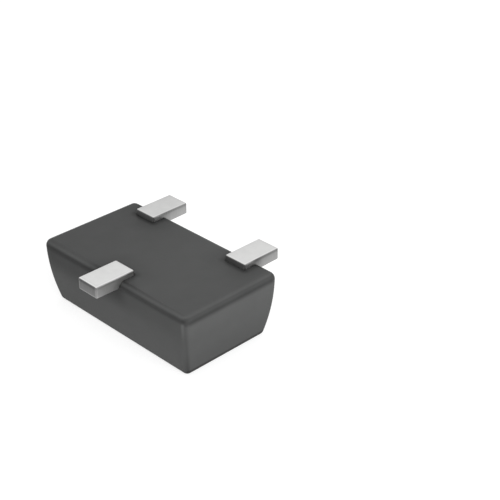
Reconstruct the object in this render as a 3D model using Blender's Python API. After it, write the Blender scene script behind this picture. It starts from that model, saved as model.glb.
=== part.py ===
"""A three-lead surface-mount transistor in a flat-lead moulded package.

It lies on its marking face with its leads up. X runs along the body, the collector's lead is on
the -Y side, the base and emitter leads are on the +Y side, and Z is zero on the marking face.
"""
import math

import bmesh
import bpy
import numpy as np
from mathutils import Matrix, Vector
from mathutils.geometry import interpolate_bezier

# Every size is in millimetres. The finished meshes are brought to metres in one place.
MM = 0.001

# Moulded body
body_length = 2.90
body_width = 1.65
body_height = 0.965
wall_lean = 0.13
lead_face_fillet = 0.10
marking_face_fillet = 0.055
corner_radius_at_leads = 0.105
corner_radius_at_marking = 0.065
least_corner_radius = 0.004
mould_gap = 0.004

# Leads, all stamped from one strip
strip_thickness = 0.175
lead_width = 0.37
lead_reach = 0.365
standoff = 0.08
pair_end_margin = 0.35
riser_thickness = 0.12
riser_run = 0.07
stamped_edge_radius = 0.014

# Die pad and bond posts, the ends of the leads inside the body
pad_length = 1.00
post_depth = 0.17
post_spacing = 0.56
post_end_cover = 0.265
frame_slot = 0.15
plan_corner_radius = 0.04

# Chip and the solder under it
die_side = 0.42
die_margin = 0.08
die_thickness = 0.15
attach_thickness = 0.02
attach_spread = 0.025
seat_gap = 0.003

# The chip's two contacts, each a bond pad and a comb of fingers
contact_margin = 0.035
contact_thickness = 0.006
bond_pad_side = 0.11
spine_width = 0.025
finger_gap = 0.013
base_fingers = 4

# Bond wires
wire_radius = 0.015
loop_height = 0.125
marking_cover = 0.19
ball_radius = 0.0375
ball_height = 0.018
stitch_length = 0.045
stitch_half_width = 0.028
stitch_half_thickness = 0.006
stitch_from_post_end = 0.17
neck_rise = 0.005

# The ball's outline, as shares of its height and radius from the contact up
ball_outline = ((0, 0.8), (0.3, 1), (0.7, 1), (1, 0.7))

# The stitch's outline, as shares of its length, half width and half thickness from the wire outward
stitch_outline = ((1, 1, 1), (2, 0.8, 0.5))

# The loop's bend, as shares of the run to its stitch and of its rise and fall
crest_share = 0.25
neck_stiffness = 0.67
shoulder_share = 0.35
landing_share = 0.40
landing_lift = 0.32

# Facets
corner_segments = 6
fillet_segments = 5
wall_segments = 8
edge_segments = 2
wire_sides = 12
wire_steps = 8
plan_segments = 3
sharp_angle = math.radians(40)

# Tolerances: points this near are one corner, and faces that turn less than this share are one face
same_place = 0.0001
least_facet_turn = 0.01

# Levels, counted up from the marking face
contact_face = marking_cover + loop_height
die_face = contact_face + contact_thickness + seat_gap
attach_face = die_face + die_thickness + seat_gap
pad_face = attach_face + attach_thickness + seat_gap
pad_back = pad_face + strip_thickness
solder_face = body_height + standoff

# Distances outward from the package's centre line, on whichever side the lead is. The pad is as deep
# as the chip needs, the slot and the posts take their room beside it, and the leads step up past them
pad_depth = die_side + 2 * die_margin
shoulder_out = (pad_depth + frame_slot + post_depth) / 2
pad_far_out = shoulder_out - pad_depth
post_edge_out = shoulder_out - post_depth
landing_out = shoulder_out + plan_corner_radius
heel_out = landing_out + riser_run
tip_out = body_width / 2 + lead_reach

# The chip sits in the middle of the die pad, which the collector's lead carries
die_centre_y = -(shoulder_out + pad_far_out) / 2
contact_half = die_side / 2 - contact_margin


def finish(name, colour, roughness, metallic):
    made = bpy.data.materials.new(name)
    made.use_nodes = True
    shader = made.node_tree.nodes["Principled BSDF"]
    shader.inputs["Base Color"].default_value = (*colour, 1.0)
    shader.inputs["Roughness"].default_value = roughness
    shader.inputs["Metallic"].default_value = metallic
    return made


def linked(name, shape):
    """Turns a bmesh into an object in the scene."""
    mesh = bpy.data.meshes.new(name)
    shape.to_mesh(mesh)
    shape.free()
    made = bpy.data.objects.new(name, mesh)
    bpy.context.collection.objects.link(made)
    return made


def piece(name, shape, material):
    """Makes a finished piece, in metres, from a shape drawn in millimetres."""
    bmesh.ops.recalc_face_normals(shape, faces=shape.faces)
    bmesh.ops.transform(shape, matrix=Matrix.Scale(MM, 4), verts=shape.verts)
    made = linked(name, shape)
    made.data.materials.append(material)
    made.data.shade_smooth()
    made.data.set_sharp_from_angle(angle=sharp_angle)
    return made


def step_out(vert):
    """The move that brings a corner clear of all its faces by the mould gap."""
    facing = np.array([face.normal for face in vert.link_faces])
    gaps = np.full(len(facing), mould_gap * MM)
    return Vector(np.linalg.lstsq(facing, gaps, rcond=least_facet_turn)[0])


def mould_around(body, insert):
    """Leaves the insert's own shape, grown by the mould gap, open in the body."""
    grown = bmesh.new()
    grown.from_mesh(insert.data)
    grown.normal_update()
    steps = [step_out(vert) for vert in grown.verts]
    for vert, step in zip(grown.verts, steps):
        vert.co += step
    space = linked(insert.name + "_space", grown)
    space.hide_render = True
    space.display_type = "WIRE"
    cut = body.modifiers.new(insert.name, "BOOLEAN")
    cut.operation = "DIFFERENCE"
    cut.solver = "EXACT"
    cut.object = space


def loft(shape, rings):
    """Skins closed rings of equally many points, and closes the first and the last."""
    loops = [[shape.verts.new(point) for point in ring] for ring in rings]
    for near, far in zip(loops, loops[1:]):
        for i in range(len(near)):
            shape.faces.new((near[i - 1], near[i], far[i], far[i - 1]))
    shape.faces.new(loops[0])
    shape.faces.new(loops[-1])


def plate(shape, outline, bottom, top):
    """A flat plate between two levels, with the outline given as points in the plan."""
    base = shape.faces.new([shape.verts.new((x, y, bottom)) for x, y in outline])
    raised = bmesh.ops.extrude_face_region(shape, geom=[base])["geom"]
    verts = [item for item in raised if isinstance(item, bmesh.types.BMVert)]
    bmesh.ops.translate(shape, verts=verts, vec=(0, 0, top - bottom))


def rounded_rectangle(half_x, half_y, radius, z):
    """Points round a rectangle at height z, with its corners drawn as arcs."""
    points = []
    for turn, (sign_x, sign_y) in enumerate(((1, 1), (-1, 1), (-1, -1), (1, -1))):
        for step in range(corner_segments + 1):
            angle = math.radians(90) * (turn + step / corner_segments)
            x = sign_x * (half_x - radius) + radius * math.cos(angle)
            y = sign_y * (half_y - radius) + radius * math.sin(angle)
            points.append((x, y, z))
    return points


def wall_inset(depth):
    """How far the wall has leant in at a depth under the lead face: one arc, widest at the fillet's end."""
    arc_radius = (body_height**2 + wall_lean**2) / (2 * wall_lean)
    return math.sqrt(arc_radius**2 - lead_face_fillet**2) - math.sqrt(arc_radius**2 - depth**2)


def body_ring(depth, fillet_inset):
    """One section of the body at a depth under the lead face."""
    inset = wall_inset(depth) + fillet_inset
    share = depth / body_height
    wall_radius = corner_radius_at_leads + share * (corner_radius_at_marking - corner_radius_at_leads)
    radius = max(wall_radius - fillet_inset, least_corner_radius)
    return rounded_rectangle(body_length / 2 - inset, body_width / 2 - inset, radius, body_height - depth)


def moulded_body(material):
    """The moulding: a rounded edge at the lead face, leaning walls, a rounded edge at the marking face."""
    rings = []
    quarter = [math.radians(90) * step / fillet_segments for step in range(fillet_segments + 1)]
    for angle in quarter:
        depth = lead_face_fillet * (1 - math.cos(angle))
        rings.append(body_ring(depth, lead_face_fillet * (1 - math.sin(angle))))
    wall_height = body_height - lead_face_fillet - marking_face_fillet
    for step in range(1, wall_segments):
        rings.append(body_ring(lead_face_fillet + wall_height * step / wall_segments, 0))
    for angle in reversed(quarter):
        depth = body_height - marking_face_fillet * (1 - math.cos(angle))
        rings.append(body_ring(depth, marking_face_fillet * (1 - math.sin(angle))))
    shape = bmesh.new()
    loft(shape, rings)
    return piece("moulded_body", shape, material)


def stepped(out, start_out, foot_level, inner_level):
    """The level of one face of a lead: flat, down the step's slope, then flat again."""
    share = min(max((start_out - out) / riser_run, 0), 1)
    return foot_level + share * (inner_level - foot_level)


def stamped_lead(name, side, foot_x, inner_outline, material):
    """A flat blank with its foot and its inner end, pressed into a step where it enters the body."""
    half = lead_width / 2
    blank = [(foot_x - half, tip_out), (foot_x + half, tip_out)]
    blank += [(foot_x + half, shoulder_out), *inner_outline, (foot_x - half, shoulder_out)]
    shape = bmesh.new()
    shape.faces.new([shape.verts.new((x, side * out, solder_face)) for x, out in blank])
    bmesh.ops.bevel(
        shape,
        geom=[vert for vert in shape.verts if abs(vert.co.y) < tip_out - plan_corner_radius],
        affect="VERTICES",
        offset=plan_corner_radius,
        segments=plan_segments,
        profile=0.5,
    )
    lower_heel_out = heel_out + riser_thickness
    for out in (heel_out, landing_out, lower_heel_out, lower_heel_out - riser_run):
        bmesh.ops.bisect_plane(
            shape,
            geom=[*shape.verts, *shape.edges, *shape.faces],
            dist=same_place,
            plane_co=(0, side * out, 0),
            plane_no=(0, 1, 0),
        )
    solder_side = list(shape.verts)
    thickened = bmesh.ops.extrude_face_region(shape, geom=list(shape.faces))["geom"]
    for vert in solder_side:
        vert.co.z = stepped(side * vert.co.y, heel_out, solder_face, pad_back)
    for item in thickened:
        if isinstance(item, bmesh.types.BMVert):
            foot_underside = solder_face - strip_thickness
            item.co.z = stepped(side * item.co.y, lower_heel_out, foot_underside, pad_face)
    round_the_foot(shape, side)
    return piece(name, shape, material)


def round_the_foot(shape, side):
    """Takes the sharpness off the stamped edges of the foot, which is all that shows of a lead."""
    nearly = stamped_edge_radius / 2

    def on_foot(vert):
        flat = vert.co.z > solder_face - strip_thickness - nearly
        return flat and side * vert.co.y > heel_out - nearly

    shape.normal_update()
    edges = [
        edge
        for edge in shape.edges
        if all(on_foot(vert) for vert in edge.verts)
        and edge.is_manifold
        and edge.calc_face_angle() > sharp_angle
    ]
    bmesh.ops.bevel(
        shape,
        geom=edges,
        affect="EDGES",
        offset=stamped_edge_radius,
        segments=edge_segments,
        profile=0.5,
        clamp_overlap=True,
    )


def collector_lead(material):
    """The single lead, whose inner end is the die pad."""
    half = pad_length / 2
    pad = [(half, shoulder_out), (half, pad_far_out), (-half, pad_far_out), (-half, shoulder_out)]
    return stamped_lead("collector_lead", -1, 0, pad, material)


def paired_lead(name, hand, material):
    """A lead of the pair, whose inner end is a bond post that reaches towards the chip."""
    foot_x = hand * (body_length / 2 - pair_end_margin - lead_width / 2)
    near, far = hand * post_spacing / 2, hand * (body_length / 2 - post_end_cover)
    right, left = max(near, far), min(near, far)
    post = [(right, shoulder_out), (right, post_edge_out), (left, post_edge_out), (left, shoulder_out)]
    return stamped_lead(name, 1, foot_x, post, material)


def die_attach(material):
    """The solder under the chip, spread a little wider where it wets the die pad."""
    narrow = die_side / 2
    wide = narrow + attach_spread
    shape = bmesh.new()
    rings = [
        rounded_rectangle(narrow, narrow, attach_spread, attach_face),
        rounded_rectangle(wide, wide, attach_spread, attach_face + attach_thickness),
    ]
    loft(shape, rings)
    bmesh.ops.translate(shape, verts=shape.verts, vec=(0, die_centre_y, 0))
    return piece("die_attach", shape, material)


def silicon_die(material):
    """The chip, sawn square from its wafer."""
    half = die_side / 2
    shape = bmesh.new()
    corners = [(half, half), (-half, half), (-half, -half), (half, -half)]
    plate(shape, corners, die_face, die_face + die_thickness)
    bmesh.ops.translate(shape, verts=shape.verts, vec=(0, die_centre_y, 0))
    return piece("silicon_die", shape, material)


def base_comb():
    """Plan of the base contact: its bond pad, a spine to the right, and fingers that point away."""
    left, right, top = -contact_half, contact_half - spine_width - finger_gap, contact_half
    spine_top = top - bond_pad_side - finger_gap
    spine_bottom = spine_top - spine_width
    tip = -contact_half + spine_width + finger_gap
    width = (right - left - 2 * (base_fingers - 1) * finger_gap) / (2 * base_fingers - 1)
    pad_right = left + bond_pad_side
    outline = [(left, top), (pad_right, top), (pad_right, spine_top), (right, spine_top)]
    for i in reversed(range(base_fingers)):
        start = left + 2 * i * (width + finger_gap)
        outline += [(start + width, tip), (start, tip)]
        if i > 0:
            outline += [(start, spine_bottom), (start - 2 * finger_gap - width, spine_bottom)]
    return outline


def emitter_comb():
    """Plan of the emitter contact: its bond pad, a bar down to a spine, and fingers between the base's."""
    left, right, bottom = -contact_half, contact_half, -contact_half
    bar, pad_left = right - spine_width, right - bond_pad_side
    pad_bottom, spine_top = contact_half - bond_pad_side, bottom + spine_width
    tip = contact_half - bond_pad_side - 2 * finger_gap - spine_width
    span = right - spine_width - finger_gap - left
    width = (span - 2 * (base_fingers - 1) * finger_gap) / (2 * base_fingers - 1)
    outline = [(right, contact_half), (pad_left, contact_half), (pad_left, pad_bottom)]
    outline += [(bar, pad_bottom), (bar, spine_top)]
    for i in reversed(range(base_fingers - 1)):
        start = left + (2 * i + 1) * (width + finger_gap)
        outline += [(start + width, spine_top), (start + width, tip), (start, tip), (start, spine_top)]
    return outline + [(left, spine_top), (left, bottom), (right, bottom)]


def contact(name, outline, material):
    """A film of metal on the chip's face."""
    placed = [(x, y + die_centre_y) for x, y in outline]
    shape = bmesh.new()
    plate(shape, placed, contact_face, contact_face + contact_thickness)
    return piece(name, shape, material)


def wire_path(run, ball_top, crest, seat):
    """Points (along, height) of a wire that rises off its ball, crests and comes down to its stitch."""
    crest_at = crest_share * run
    rest = run - crest_at
    up_to_crest = interpolate_bezier(
        Vector((0, ball_top)),
        Vector((0, ball_top + neck_stiffness * (crest - ball_top))),
        Vector((crest_at * (1 - neck_stiffness), crest)),
        Vector((crest_at, crest)),
        wire_steps,
    )
    down_to_seat = interpolate_bezier(
        Vector((crest_at, crest)),
        Vector((crest_at + shoulder_share * rest, crest)),
        Vector((run - landing_share * rest, seat + landing_lift * (crest - seat))),
        Vector((run, seat)),
        wire_steps,
    )
    return up_to_crest + down_to_seat[1:]


def bond_wire(name, hand, material):
    """A gold wire: a ball on the contact, a loop, and a flattened stitch on the bond post."""
    up = Vector((0, 0, -1))
    pad_middle = contact_half - bond_pad_side / 2
    start = Vector((hand * pad_middle, die_centre_y + pad_middle, contact_face - seat_gap))
    stitch_y = post_edge_out + post_depth / 2
    end = Vector((hand * (post_spacing / 2 + stitch_from_post_end), stitch_y, pad_face - seat_gap))
    flat = Vector((end.x - start.x, end.y - start.y, 0))
    along = flat.normalized()
    across = along.cross(up)
    seat = start.z - end.z

    def section(reach, height, direction, half_width, half_thickness):
        centre = start + along * reach + up * height
        tangent = (along * direction[0] + up * direction[1]).normalized()
        normal = tangent.cross(across)
        turns = [2 * math.pi * i / wire_sides for i in range(wire_sides)]
        return [
            centre + across * half_width * math.cos(turn) + normal * half_thickness * math.sin(turn)
            for turn in turns
        ]

    upright, level = (0, 1), (1, 0)
    rings = []
    for height, radius in ball_outline:
        rings.append(section(0, ball_height * height, upright, ball_radius * radius, ball_radius * radius))
    run = flat.length - stitch_length
    crest = loop_height - seat_gap - wire_radius
    path = wire_path(run, ball_height + neck_rise, crest, seat + wire_radius)
    for i, point in enumerate(path):
        before, after = path[max(i - 1, 0)], path[min(i + 1, len(path) - 1)]
        direction = upright if i == 0 else after - before
        rings.append(section(*point, direction, wire_radius, wire_radius))
    for length, width, thickness in stitch_outline:
        reach, thin = run + stitch_length * length, stitch_half_thickness * thickness
        rings.append(section(reach, seat + thin, level, stitch_half_width * width, thin))
    shape = bmesh.new()
    loft(shape, rings)
    return piece(name, shape, material)


for old in list(bpy.data.objects):
    bpy.data.objects.remove(old)

epoxy = finish("moulded_epoxy", (0.09, 0.09, 0.09), 0.55, 0.0)
tin = finish("tin_plated_copper", (0.68, 0.68, 0.67), 0.35, 1.0)
solder = finish("die_solder", (0.42, 0.42, 0.44), 0.45, 1.0)
silicon = finish("sawn_silicon", (0.10, 0.11, 0.14), 0.25, 0.6)
aluminium = finish("contact_aluminium", (0.80, 0.80, 0.82), 0.30, 1.0)
gold = finish("bond_gold", (0.90, 0.62, 0.22), 0.25, 1.0)

body = moulded_body(epoxy)
inserts = [
    collector_lead(tin),
    paired_lead("base_lead", -1, tin),
    paired_lead("emitter_lead", 1, tin),
    die_attach(solder),
    silicon_die(silicon),
    contact("base_contact", base_comb(), aluminium),
    contact("emitter_contact", emitter_comb(), aluminium),
    bond_wire("base_bond_wire", -1, gold),
    bond_wire("emitter_bond_wire", 1, gold),
]
for insert in inserts:
    mould_around(body, insert)
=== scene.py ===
import math

import bmesh
import bpy
from mathutils import Matrix, Vector


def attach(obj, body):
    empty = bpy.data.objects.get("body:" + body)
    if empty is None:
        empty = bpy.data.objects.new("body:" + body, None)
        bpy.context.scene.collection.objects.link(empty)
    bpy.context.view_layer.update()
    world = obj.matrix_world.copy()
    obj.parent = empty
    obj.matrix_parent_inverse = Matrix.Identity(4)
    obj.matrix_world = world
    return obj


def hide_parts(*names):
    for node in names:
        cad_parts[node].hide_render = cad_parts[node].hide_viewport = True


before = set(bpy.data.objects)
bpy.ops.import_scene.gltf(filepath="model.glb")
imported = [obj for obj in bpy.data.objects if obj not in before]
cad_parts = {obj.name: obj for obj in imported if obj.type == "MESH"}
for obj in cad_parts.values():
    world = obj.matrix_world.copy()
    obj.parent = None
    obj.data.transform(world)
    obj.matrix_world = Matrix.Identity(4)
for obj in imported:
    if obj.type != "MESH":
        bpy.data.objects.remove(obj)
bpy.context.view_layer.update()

# Leads: three strips of copper alloy, stamped from one sheet and pressed into a step at the heel.
# The collector's carries the die pad, the pair carry the bond posts. They are plated with matte
# tin after moulding and trimmed from their frame last. Their cut faces carry painted shade, darkest on the
# tips.
MM = 0.001
strip_thickness = 0.175
lead_width = 0.37
solder_face = 1.045
foot_underside = solder_face - strip_thickness
pad_face = 0.50
pad_back = pad_face + strip_thickness

# Distances outward from the middle of the package, on whichever side the lead is
body_width = 1.65
body_edge = body_width / 2
tip_out = 1.19
shoulder_out = 0.45
plan_corner_radius = 0.04
step_run = 0.07
step_thickness = 0.12
landing_out = shoulder_out + plan_corner_radius
heel_out = landing_out + step_run
lower_heel_out = heel_out + step_thickness
lower_landing_out = lower_heel_out - step_run
eased_to = 0.53
pad_far_out = -0.13
post_edge_out = 0.28

# Distances along the package
pad_end = 0.50
pair_axis = 0.915
post_inner_end = 0.28
post_outer_end = 1.185

edge_radius = 0.022
easing_steps = 5
# Depth of the painted shade band under the top edge of the cut faces
shade_band_depth = 0.025
# Painted shade tones: the heel's face, the sheared sides by the heel, and the cut tip
heel_shade_tone = 0.105
heel_side_shade_tone = 0.40
cut_tip_shade_tone = 0.165
sharp_angle = math.radians(40)
same_place = 0.0001
pad_plan = [
    (pad_end, shoulder_out),
    (pad_end, pad_far_out),
    (-pad_end, pad_far_out),
    (-pad_end, shoulder_out),
]
post_plan = [
    (post_outer_end, shoulder_out),
    (post_outer_end, post_edge_out),
    (post_inner_end, post_edge_out),
    (post_inner_end, shoulder_out),
]
mirrored_post = [(-x, out) for x, out in reversed(post_plan)]


def between(first, second, share):
    """The first value where the share is 0, the second where it is 1, and in step between them."""
    return first + (second - first) * share


class Signal:
    """A value on its way through a finish's nodes. Sums written on it add the Math nodes."""

    def __init__(self, nodes, socket):
        self.nodes, self.socket = nodes, socket

    def maths(self, operation, *terms):
        return self.nodes.node("ShaderNodeMath", {"operation": operation}, dict(enumerate(terms)))

    def __add__(self, other):
        return self.maths("ADD", self, other)

    def __sub__(self, other):
        return self.maths("SUBTRACT", self, other)

    def __rsub__(self, other):
        return self.maths("SUBTRACT", other, self)

    def __mul__(self, other):
        return self.maths("MULTIPLY", self, other)

    def __abs__(self):
        return self.maths("ABSOLUTE", self)

    def larger(self, other):
        return self.maths("MAXIMUM", self, other)

    __radd__, __rmul__ = __add__, __mul__


class Nodes:
    """The node tree of a finish or of the surroundings."""

    def __init__(self, owner):
        owner.use_nodes = True
        self.tree = owner.node_tree

    def node(self, kind, settings=None, inputs=None, output=0):
        """Adds a node: its settings first, then the values or links of its sockets."""
        made = self.tree.nodes.new(kind)
        for setting, value in (settings or {}).items():
            setattr(made, setting, value)
        for socket, value in (inputs or {}).items():
            self.feed(made.inputs[socket], value)
        return Signal(self, made.outputs[output])

    def feed(self, socket, value):
        """Links a signal to a socket, or sets a plain value on it."""
        if isinstance(value, Signal):
            self.tree.links.new(value.socket, socket)
        else:
            socket.default_value = value


class Finish(Nodes):
    """A procedural finish on the Principled shader. Its constants are named as the shader's sockets.

    Places in it are in millimetres on the part, and tones run from 0, dark, to 1, light.
    """

    def __init__(self, name, **fixed):
        self.material = bpy.data.materials.new(name)
        super().__init__(self.material)
        self.shader = self.tree.nodes["Principled BSDF"]
        for words, value in fixed.items():
            self.shader.inputs[words.replace("_", " ")].default_value = value
        metres = self.node("ShaderNodeTexCoord", output="Object")
        self.place = self.node("ShaderNodeVectorMath", {"operation": "SCALE"}, {0: metres, "Scale": 1 / MM})
        self.x, self.y, self.z = (
            self.node("ShaderNodeSeparateXYZ", inputs={0: self.place}, output=axis) for axis in "XYZ"
        )

    def rise(self, value, start, end):
        """0 before the start and 1 past the end, with a soft change between them."""
        ends = {"Value": value, "From Min": start, "From Max": end}
        return self.node("ShaderNodeMapRange", {"interpolation_type": "SMOOTHSTEP"}, ends)

    def fall(self, value, start, end):
        """1 before the start and 0 past the end, with a soft change between them."""
        return 1 - self.rise(value, start, end)

    def line(self, value, centre, reach):
        """1 at the centre, falling softly to 0 at the reach on either side of it."""
        return self.fall(abs(value - centre), 0, reach)

    def corner_distance(self, past, beyond):
        """How far outside a square corner a point lies, from how far past each of its sides."""
        outside = self.node("ShaderNodeCombineXYZ", inputs={0: past.larger(0), 1: beyond.larger(0)})
        return self.node("ShaderNodeVectorMath", {"operation": "LENGTH"}, {0: outside}, output="Value")

    def noise(self, per_mm, detail, stretch=(1, 1, 1)):
        """Clouds about 1 / per_mm across, from 0 to 1, drawn out or squeezed along the axes."""
        spread = self.node("ShaderNodeVectorMath", {"operation": "MULTIPLY"}, {0: self.place, 1: stretch})
        texture = {"Vector": spread, "Scale": per_mm, "Detail": detail}
        return self.node("ShaderNodeTexNoise", inputs=texture)

    def colour(self, tone, dark, light):
        """Base colour from dark at a tone of 0 to light at a tone of 1."""
        ends = {0: tone, 6: (*dark, 1), 7: (*light, 1)}
        mixed = self.node("ShaderNodeMix", {"data_type": "RGBA"}, ends, output=2)
        self.feed(self.shader.inputs["Base Color"], mixed)

    def roughness(self, value):
        self.feed(self.shader.inputs["Roughness"], value)

    def relief(self, height, depth):
        """Bump whose highest points stand a depth, in millimetres, over its lowest."""
        bump = self.node("ShaderNodeBump", inputs={"Strength": 1.0, "Distance": depth * MM, "Height": height})
        self.feed(self.shader.inputs["Normal"], bump)


def tin_plate(name, side, axis, face, at_tip, at_wall, at_edge):
    """Matte tin: bright on the pressed faces, with painted shade on the sheared sides, darkest on the cut
    tip.

    The tones, set lead by lead as painted light and shade, are those of the pressed face, and of the
    sheared sides at the tip, where the strip leaves the wall, and over the body's edge.
    """
    tin = Finish(name, Metallic=1.0, Specular_Tint=(0.6, 0.6, 0.6, 1))
    clouds = tin.noise(9, 3.0)
    grains = tin.noise(90, 3.0)
    drag = tin.noise(30, 2.0, stretch=(4, 4, 0.4))

    # How far a point lies from the package's middle, and past each face of the strip
    out = tin.y * side
    past_heel = out - heel_out
    past_tip = out - tip_out
    past_side = abs(tin.x - axis) - lead_width / 2
    over_top = tin.z - solder_face
    under_foot = foot_underside - tin.z

    # Where each cut face takes over, part of the way round the eased edges
    turn_start, turn_end = -0.50 * edge_radius, -0.15 * edge_radius
    below_easing = tin.fall(over_top, -0.70 * edge_radius, -0.30 * edge_radius)
    sheared = tin.rise(past_side, turn_start, turn_end)
    trimmed = tin.rise(past_tip + 0.35 * edge_radius * below_easing, turn_start, turn_end)
    upright = below_easing * tin.fall(under_foot, turn_start, turn_end)
    cut = upright.larger(sheared).larger(trimmed)
    heel = tin.fall(over_top, -0.60 * edge_radius, -0.20 * edge_radius) * tin.fall(past_heel, 0.004, 0.020)

    # Painted light and shade: a highlight line and a shade line round the face, and on the cut faces a
    # dark band under the top edge, lighter metal below it, highlights round the tip and along its foot,
    # and shade near the tip, all painted
    rim = past_side.larger(past_tip)
    highlight_rim = tin.line(rim, -0.012, 0.014)
    shade_rim = tin.line(rim, -0.036, 0.014)
    shade_under_edge = tin.line(over_top, -shade_band_depth, 0.035)
    lower = tin.rise(under_foot, shade_band_depth - strip_thickness, 0)
    tip_rim_highlight = tin.rise(past_side.larger(under_foot), -0.034, -0.018)
    tip_foot_highlight = tin.rise(under_foot, -0.026, -0.010)
    near_tip_shade = tin.rise(past_tip, -0.036, -0.010)
    over_body = tin.fall(out, body_edge - 0.045, body_edge + 0.085)
    beside_body = tin.fall(out, body_edge - 0.06, tip_out)
    off_heel = tin.rise(past_heel, 0.06, 0.20)

    # The face's tone is set lead by lead as painted light; the sheared sides darken towards the body and over
    # its edge as painted shade
    face_tone = face + 0.10 * (clouds - 0.5) + 0.05 * (grains - 0.5)
    face_tone += 0.06 * highlight_rim - 0.03 * shade_rim
    beside_tone = between(at_tip, at_wall, beside_body) + 0.08 * lower - 0.14 * shade_under_edge
    over_tone = between(heel_side_shade_tone, at_edge, off_heel) + 0.14 * lower - 0.06 * shade_under_edge
    side_tone = between(beside_tone, over_tone, over_body) + 0.12 * (drag - 0.5) - 0.07 * near_tip_shade
    tip_tone = cut_tip_shade_tone + 0.10 * (drag - 0.5) + 0.05 * lower - 0.08 * shade_under_edge
    tip_tone += 0.10 * tip_rim_highlight + 0.16 * tip_foot_highlight
    tone = between(face_tone, between(side_tone, tip_tone, trimmed), cut)
    # Painted shade: the heel's face is painted dark
    tone = between(tone, heel_shade_tone, heel)
    tin.colour(tone, dark=(0.03, 0.03, 0.03), light=(0.90, 0.90, 0.893))
    tin.roughness(0.42 + 0.06 * trimmed + 0.10 * (grains - 0.5))
    tin.relief(0.5 * grains + 0.5 * clouds + 0.8 * sheared * drag, 0.0012)
    return tin.material


def finished(name, shape, finish):
    """Makes a piece in metres, with its place in its mesh, from a shape drawn in millimetres."""
    bmesh.ops.recalc_face_normals(shape, faces=shape.faces)
    bmesh.ops.scale(shape, vec=(MM, MM, MM), verts=shape.verts)
    mesh = bpy.data.meshes.new(name)
    shape.to_mesh(mesh)
    shape.free()
    mesh.materials.append(finish)
    mesh.shade_smooth()
    piece = bpy.data.objects.new(name, mesh)
    bpy.context.collection.objects.link(piece)
    return piece


def keep_flats_flat(piece):
    """Bends the shading round the eased edges alone: flat faces look flat, sharp edges stay sharp."""
    piece.data.set_sharp_from_angle(angle=sharp_angle)
    weighting = piece.modifiers.new("flat faces stay flat", "WEIGHTED_NORMAL")
    weighting.keep_sharp = True


def level(out, start, run, outer, inner):
    """The level of one face of a lead: flat outside the step, down its slope, flat again inside."""
    return between(outer, inner, min(max((start - out) / run, 0), 1))


def stamped_lead(node, side, axis, inner_end, **tones):
    """Stamps the blank, gives it its thickness, presses its step and eases its edges."""
    half = lead_width / 2
    plan = [(axis - half, tip_out), (axis + half, tip_out), (axis + half, shoulder_out)]
    plan += [*inner_end, (axis - half, shoulder_out)]
    shape = bmesh.new()
    shape.faces.new([shape.verts.new((x, side * out, solder_face)) for x, out in plan])
    bmesh.ops.bevel(
        shape,
        geom=[vert for vert in shape.verts if abs(vert.co.y) < tip_out - plan_corner_radius],
        affect="VERTICES",
        offset=plan_corner_radius,
        segments=easing_steps,
        profile=0.5,
        material=-1,
    )
    for out in (heel_out, eased_to, landing_out, lower_heel_out, lower_landing_out):
        bmesh.ops.bisect_plane(
            shape,
            geom=[*shape.verts, *shape.edges, *shape.faces],
            dist=same_place,
            plane_co=(0, side * out, 0),
            plane_no=(0, 1, 0),
        )
    upper = list(shape.verts)
    thickened = bmesh.ops.extrude_face_region(shape, geom=list(shape.faces))["geom"]
    for vert in upper:
        vert.co.z = level(side * vert.co.y, heel_out, step_run, solder_face, pad_back)
    for vert in (item for item in thickened if isinstance(item, bmesh.types.BMVert)):
        vert.co.z = level(side * vert.co.y, lower_heel_out, step_run, foot_underside, pad_face)
    shape.normal_update()
    showing = {
        vert
        for vert in shape.verts
        if side * vert.co.y > eased_to - edge_radius and vert.co.z > foot_underside - edge_radius
    }
    sharp = [edge for edge in shape.edges if edge.calc_face_angle() > sharp_angle]
    bmesh.ops.bevel(
        shape,
        geom=[edge for edge in sharp if showing.issuperset(edge.verts)],
        affect="EDGES",
        offset=edge_radius,
        segments=easing_steps,
        profile=0.5,
        material=-1,
        clamp_overlap=True,
    )
    piece = finished(node + "_strip", shape, tin_plate(node + "_tin", side, axis, **tones))
    keep_flats_flat(piece)
    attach(piece, "root")
    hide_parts(node)


# Each lead's tones are painted light and shade, set lead by lead for how the light falls on it
stamped_lead("collector_lead", -1, 0, pad_plan, face=0.82, at_tip=0.54, at_wall=0.72, at_edge=0.60)
stamped_lead("emitter_lead", 1, pair_axis, post_plan, face=0.815, at_tip=0.37, at_wall=0.29, at_edge=0.16)
stamped_lead("base_lead", 1, -pair_axis, mirrored_post, face=0.735, at_tip=0.40, at_wall=0.33, at_edge=0.24)


# Solder under the chip: a thin layer of tin-rich alloy, reflowed on the die pad. It joins the
# chip's back, which is the collector, to the pad. It is the CAD's own node.
def carried_over(node, finish):
    """Gives a CAD node its finish and leaves its shape as it is."""
    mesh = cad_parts[node].data
    mesh.materials.clear()
    mesh.materials.append(finish)


solder = Finish("reflowed_solder", Metallic=1.0)
lumps = solder.noise(25, 4.0)
solder.colour(0.5 + 0.6 * (lumps - 0.5), dark=(0.28, 0.28, 0.30), light=(0.56, 0.56, 0.58))
solder.roughness(0.35 + 0.25 * lumps)
solder.relief(lumps, 0.002)
carried_over("die_attach", solder.material)

# Chip: a square of silicon sawn from its wafer, so its sides carry the blade's lines. The face
# that the contacts lie on is polished and covered with a thin oxide.
contact_face = 0.315
contact_thickness = 0.006
seat_gap = 0.003
die_face = contact_face + contact_thickness + seat_gap
silicon = Finish("sawn_silicon", Metallic=0.6)
sawn = silicon.rise(silicon.z, die_face + 0.001, die_face + 0.004)
blade_lines = silicon.noise(60, 2.0, stretch=(0.15, 0.15, 4))
silicon_tone = 0.6 - 0.3 * sawn + 0.4 * sawn * (blade_lines - 0.5)
silicon.colour(silicon_tone, dark=(0.05, 0.05, 0.06), light=(0.14, 0.15, 0.20))
silicon.roughness(0.12 + 0.38 * sawn)
silicon.relief(sawn * blade_lines, 0.002)
carried_over("silicon_die", silicon.material)

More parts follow.
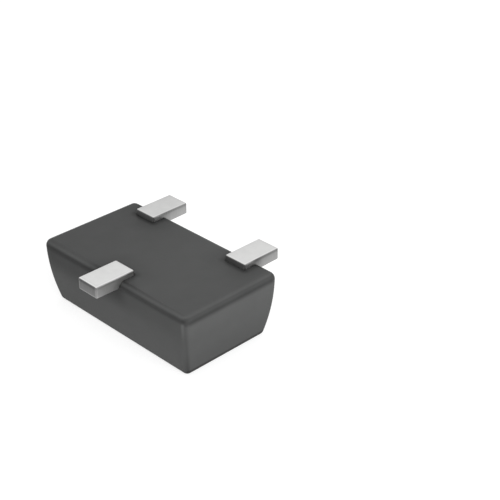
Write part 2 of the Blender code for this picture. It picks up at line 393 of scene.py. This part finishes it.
# Contacts: two interlocked combs of aluminium, deposited on the chip and etched to shape. The
# film is fine-grained and dull at its etched edges.
aluminium = Finish("deposited_aluminium", Metallic=1.0)
film_grains = aluminium.noise(160, 3.0)
etched = aluminium.rise(aluminium.z, contact_face + 0.001, contact_face + 0.003)
film_tone = 0.85 + 0.2 * (film_grains - 0.5) - 0.35 * etched
aluminium.colour(film_tone, dark=(0.30, 0.30, 0.31), light=(0.84, 0.84, 0.86))
aluminium.roughness(0.26 + 0.14 * film_grains + 0.2 * etched)
aluminium.relief(film_grains, 0.0006)
carried_over("base_contact", aluminium.material)
carried_over("emitter_contact", aluminium.material)

# Bond wires: drawn gold, melted to a ball on the chip's contact and pressed flat on the post.
# Their drawing leaves fine lines along them, and the stitch is a little duller.
gold = Finish("drawn_gold", Metallic=1.0)
drawn_lines = gold.noise(120, 2.0)
pressed = gold.rise(gold.z, pad_face - 0.045, pad_face - 0.015)
gold_tone = 0.7 + 0.4 * (drawn_lines - 0.5) - 0.2 * pressed
gold.colour(gold_tone, dark=(0.62, 0.40, 0.12), light=(0.95, 0.68, 0.28))
gold.roughness(0.2 + 0.12 * drawn_lines + 0.12 * pressed)
gold.relief(drawn_lines, 0.0006)
carried_over("base_bond_wire", gold.material)
carried_over("emitter_bond_wire", gold.material)

# Body: filled epoxy, shot round the strips, the chip and the wires in one go. Its walls draw in
# from the parting line at the foot of the upper edge's rounding, and the eroded mould leaves a
# fine satin grain.
body_length = 2.90
body_height = 0.965
wall_lean = 0.13
wall_arc = (body_height**2 + wall_lean**2) / (2 * wall_lean)
lead_face_fillet = 0.10
marking_face_fillet = 0.055
corner_radius_at_leads = 0.105
corner_radius_at_marking = 0.065
least_corner_radius = 0.004
mould_gap = 0.004
least_step = 0.002
flat_angle = math.radians(0.5)
corner_steps = 14
fillet_steps = 10
wall_steps = 12


def wall_inset(depth):
    """How far the wall has drawn in at a depth under the lead face: one arc."""
    return math.sqrt(wall_arc**2 - lead_face_fillet**2) - math.sqrt(wall_arc**2 - depth**2)


def body_sections():
    """Depths and edge roundings of the sections, from the lead face to the marking face."""
    quarter = [math.radians(90) * step / fillet_steps for step in range(fillet_steps + 1)]
    for turn in quarter:
        yield lead_face_fillet * (1 - math.cos(turn)), lead_face_fillet * (1 - math.sin(turn))
    wall = body_height - lead_face_fillet - marking_face_fillet
    for step in range(1, wall_steps):
        yield lead_face_fillet + wall * step / wall_steps, 0
    for turn in reversed(quarter):
        depth = body_height - marking_face_fillet * (1 - math.cos(turn))
        yield depth, marking_face_fillet * (1 - math.sin(turn))


def section_face(shape, depth, rounding):
    """Draws one section of the body as a flat plate with rounded corners."""
    inset = wall_inset(depth) + rounding
    radius = between(corner_radius_at_leads, corner_radius_at_marking, depth / body_height)
    size = Matrix.Diagonal((body_length / 2 - inset, body_edge - inset, 1, 1))
    lift = Matrix.Translation((0, 0, body_height - depth))
    plate = bmesh.ops.create_grid(shape, x_segments=1, y_segments=1, size=1, matrix=lift @ size)
    rounded = bmesh.ops.bevel(
        shape,
        geom=plate["verts"],
        affect="VERTICES",
        offset=max(radius - rounding, least_corner_radius),
        segments=corner_steps,
        profile=0.5,
        material=-1,
    )
    return rounded["verts"][0].link_faces[0]


body_shape = bmesh.new()
faces = [section_face(body_shape, *section) for section in body_sections()]
outlines = [list(face.edges) for face in faces]
for upper, lower in zip(outlines, outlines[1:]):
    bmesh.ops.bridge_loops(body_shape, edges=upper + lower)
bmesh.ops.delete(body_shape, geom=faces[1:-1], context="FACES_ONLY")

epoxy = Finish("moulded_epoxy_satin", IOR=1.5, Specular_IOR_Level=0.25)
clouds = epoxy.noise(4, 4.0)
grain = epoxy.noise(45, 3.0)

# Where a point lies: its depth under the lead face, how far it is round the upper rounding, and
# how far round an upright corner, from -1 on the long side to 1 on the end
depth = body_height - epoxy.z
past_end = abs(epoxy.x) - body_length / 2
past_side = abs(epoxy.y) - body_edge
turned = epoxy.corner_distance(past_end + corner_radius_at_leads, past_side + corner_radius_at_leads)
turned += lead_face_fillet - corner_radius_at_leads + depth
round_corner = (past_end - past_side) * (1 / corner_radius_at_leads)
on_top = epoxy.fall(depth, 0.008, 0.012)
on_wall = epoxy.rise(depth, 0.07, 0.11)
on_end = epoxy.rise(round_corner, -0.5, 0.5)
on_side = 1 - on_end

# A painted highlight line and a painted shade line along the foot of the rounding. They drift a
# little along the long sides, and the highlight widens on a stretch of the long side
drift = (0.009 * epoxy.x - 0.003 + 0.010 * epoxy.rise(epoxy.x, 0.9, 1.4)) * on_side
highlight_stretch = on_side * epoxy.rise(epoxy.x, 0.05, 0.20) * epoxy.fall(epoxy.x, 0.40, 1.15)
highlight_tone = 0.06 + (0.06 + 0.05 * epoxy.rise(epoxy.x, -0.4, 0.2)) * on_side + 0.22 * highlight_stretch
painted_highlight_line = highlight_tone * epoxy.line(turned + drift + 0.036 * on_end, 0.090, 0.055)
painted_highlight_line += 0.15 * highlight_stretch * epoxy.line(turned, 0.085, 0.105)
shade_line_tone = 0.29 - 0.10 * on_end - 0.10 * epoxy.line(round_corner, 0.3, 0.9)
painted_shade_line = shade_line_tone * epoxy.line(turned + drift - 0.027 * on_end, 0.162, 0.070)

# Painted light and shade in bands along the walls, the lower rim and the end rounding
end_rounding_shade = on_end * epoxy.rise(turned, 0.07, 0.11) * epoxy.fall(turned, 0.17, 0.22)
end_top_light = on_end * epoxy.rise(turned, 0.20, 0.24) * epoxy.fall(depth, 0.15, 0.45)
end_foot_shade = on_end * epoxy.rise(depth, 0.42, 0.90)
side_top_shade = on_side * epoxy.rise(turned, 0.15, 0.22) * epoxy.fall(depth, 0.22, 0.52)
lower_rim_shade = epoxy.rise(depth, body_height - 0.105, body_height - 0.055)

# The upright corners: a painted shade line with a painted sheen beside it, brightest under the
# rounding, and painted shade on the corner's rounding and at its foot
corner_shade_line = epoxy.line(round_corner, 0.17, 0.50) * on_wall
corner_painted_sheen = epoxy.line(round_corner, -0.55, 0.40) * on_wall
corner_painted_glint = epoxy.line(round_corner, -0.42, 0.42) * epoxy.rise(turned, 0.17, 0.21)
corner_painted_glint *= epoxy.fall(depth, 0.12, 0.42)
corner_rounding_shade = epoxy.line(round_corner, 0.0, 0.90) * epoxy.rise(turned, 0.05, 0.10)
corner_rounding_shade *= epoxy.fall(turned, 0.14, 0.19)
corner_foot_shade = epoxy.line(round_corner, -0.4, 1.6) * epoxy.rise(depth, 0.55, 0.92)

# Shade round the heel of each lead and on the wall under it
heel_shade, foot_shade = 0, 0
for side, axis in ((-1, 0), (1, -pair_axis), (1, pair_axis)):
    past_lead = abs(epoxy.x - axis) - lead_width / 2
    behind_heel = heel_out - epoxy.y * side
    off_heel = epoxy.corner_distance(past_lead, behind_heel)
    near_tone = between(0.18, 0.28, epoxy.rise(behind_heel, -0.04, 0.02))
    heel_shade += near_tone * epoxy.fall(off_heel, 0.01, 0.12) + 0.07 * epoxy.fall(off_heel, 0.08, 0.42)
    under_lead = epoxy.rise(epoxy.y * side, 0.5, 0.6) * epoxy.fall(past_lead, -0.06, 0.20)
    foot_shade += under_lead * epoxy.fall(depth, 0.12, 0.46)

# Painted shade: the body darkens towards its -X end
tone = 0.5 + 0.10 * (clouds - 0.5) + 0.08 * (grain - 0.5) - 0.13 * epoxy.fall(epoxy.x, -1.5, 0.7)
tone += painted_highlight_line - painted_shade_line - (0.175 - 0.08 * epoxy.x) * side_top_shade
tone += 0.08 * end_top_light - 0.14 * end_rounding_shade - 0.13 * end_foot_shade - (0.10 + 0.32 * on_end) * lower_rim_shade
tone += 0.24 * corner_painted_glint + 0.03 * corner_painted_sheen
tone -= 0.10 * corner_shade_line + 0.14 * corner_rounding_shade + 0.13 * corner_foot_shade
tone -= heel_shade * on_top + 0.32 * foot_shade * on_wall
epoxy.colour(tone, dark=(0.010, 0.0102, 0.0101), light=(0.109, 0.111, 0.110))
epoxy.roughness(0.50 + 0.12 * grain)
epoxy.relief(grain + 0.5 * epoxy.noise(120, 1.0), 0.0012)


def grown_core(name, insert):
    """A copy of a piece inside the body, merged, and grown by the gap that the moulding keeps."""
    core = bmesh.new()
    core.from_mesh(insert.data)
    bmesh.ops.remove_doubles(core, verts=core.verts, dist=same_place * MM)
    bmesh.ops.dissolve_limit(core, angle_limit=flat_angle, verts=core.verts, edges=core.edges)
    core.normal_update()
    steps = [vert.normal * vert.calc_shell_factor() * mould_gap * MM for vert in core.verts]
    for vert, step in zip(core.verts, steps):
        vert.co += step
    mesh = bpy.data.meshes.new(name)
    core.to_mesh(mesh)
    core.free()
    grown = bpy.data.objects.new(name, mesh)
    bpy.context.collection.objects.link(grown)
    return grown


def inside(vert):
    """Whether a corner of the body's mesh lies deep inside, in the pockets and not on a wall."""
    return abs(vert.co.y) < shoulder_out * MM and marking_face_fillet * MM < vert.co.z < pad_back * MM


body = finished("epoxy_body", body_shape, epoxy.material)
cores = [
    grown_core(node + "_core", insert) for node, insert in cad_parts.items() if node != "moulded_body"
]
for core in cores:
    pocket = body.modifiers.new(core.name, "BOOLEAN")
    pocket.operation = "DIFFERENCE"
    pocket.solver = "EXACT"
    pocket.object = core
bpy.context.view_layer.update()
body.data = bpy.data.meshes.new_from_object(body.evaluated_get(bpy.context.evaluated_depsgraph_get()))
body.modifiers.clear()
for core in cores:
    bpy.data.objects.remove(core)

# Where corners of two pockets fall almost in line the cuts leave slivers, which are closed up
pocketed = bmesh.new()
pocketed.from_mesh(body.data)
inner_edges = [edge for edge in pocketed.edges if all(inside(vert) for vert in edge.verts)]
bmesh.ops.dissolve_degenerate(pocketed, dist=least_step * MM, edges=inner_edges)
pocketed.to_mesh(body.data)
pocketed.free()
keep_flats_flat(body)
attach(body, "root")
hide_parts("moulded_body")


# Studio: a white floor, a large soft light overhead and a smaller one at the right. The floor
# and the surroundings read as plain white, and the floor keeps the soft contact shadow.
floor_reach = 400
surrounding_light = 0.58


def looked_at(nodes):
    """1 for a look at a surface, directly, in a reflection or through glass, 0 for light from it."""
    rays = ("Is Camera Ray", "Is Glossy Ray", "Is Transmission Ray")
    camera, glossy, through = (nodes.node("ShaderNodeLightPath", output=ray) for ray in rays)
    return camera.larger(glossy).larger(through)


floor_shape = bmesh.new()
bmesh.ops.create_grid(floor_shape, x_segments=1, y_segments=1, size=floor_reach)
paper = Finish("white_floor", Specular_IOR_Level=0.0)
paper.colour(paper.noise(0.02, 1.0), dark=(0.66, 0.66, 0.66), light=(0.68, 0.68, 0.68))
paper.roughness(0.9)
lit = Signal(paper, paper.shader.outputs[0])
pale = paper.node("ShaderNodeBsdfDiffuse", inputs={"Color": (0.40, 0.40, 0.40, 1)})
glow = paper.node("ShaderNodeEmission", inputs={"Color": (1, 1, 1, 1), "Strength": 0.72})
shown = paper.node("ShaderNodeAddShader", inputs={0: pale, 1: glow})
either = paper.node("ShaderNodeMixShader", inputs={0: looked_at(paper), 1: lit, 2: shown})
paper.feed(paper.tree.nodes["Material Output"].inputs["Surface"], either)
finished("floor", floor_shape, paper.material)

world = bpy.data.worlds.new("white_surroundings")
bpy.context.scene.world = world
air = Nodes(world)
background = air.tree.nodes["Background"]
air.feed(background.inputs["Color"], (1, 1, 1, 1))
air.feed(background.inputs["Strength"], between(surrounding_light, 1, looked_at(air)))


def aimed(holder, place, aim):
    """Puts a lamp or the camera at a place, in millimetres, and turns it to face another."""
    holder.location = Vector(place) * MM
    holder.rotation_euler = (Vector(aim) - Vector(place)).to_track_quat("-Z", "Y").to_euler()
    bpy.context.collection.objects.link(holder)


def soft_light(name, place, size, power):
    """A square lamp that faces the part and doesn't show in its gloss."""
    lamp = bpy.data.lights.new(name, "AREA")
    lamp.size = size * MM
    lamp.energy = power
    holder = bpy.data.objects.new(name, lamp)
    holder.visible_glossy = False
    aimed(holder, place, aim=(0, 0, 0))


soft_light("overhead", place=(0, 0, 250), size=400, power=0.13)
soft_light("right_side", place=(240, -75, 60), size=250, power=1.02)

# Camera: where the photograph was taken from, with its field of view
camera = bpy.data.cameras.new("photograph")
camera.sensor_width = 36
camera.lens = 86.61
camera.clip_start = 0.1 * MM
camera.clip_end = 1000 * MM
viewer = bpy.data.objects.new("photograph", camera)
aimed(viewer, place=(10.770, -8.933, 9.068), aim=(-0.412, 2.152, 0))
bpy.context.scene.camera = viewer
bpy.context.scene.view_settings.view_transform = "Standard"
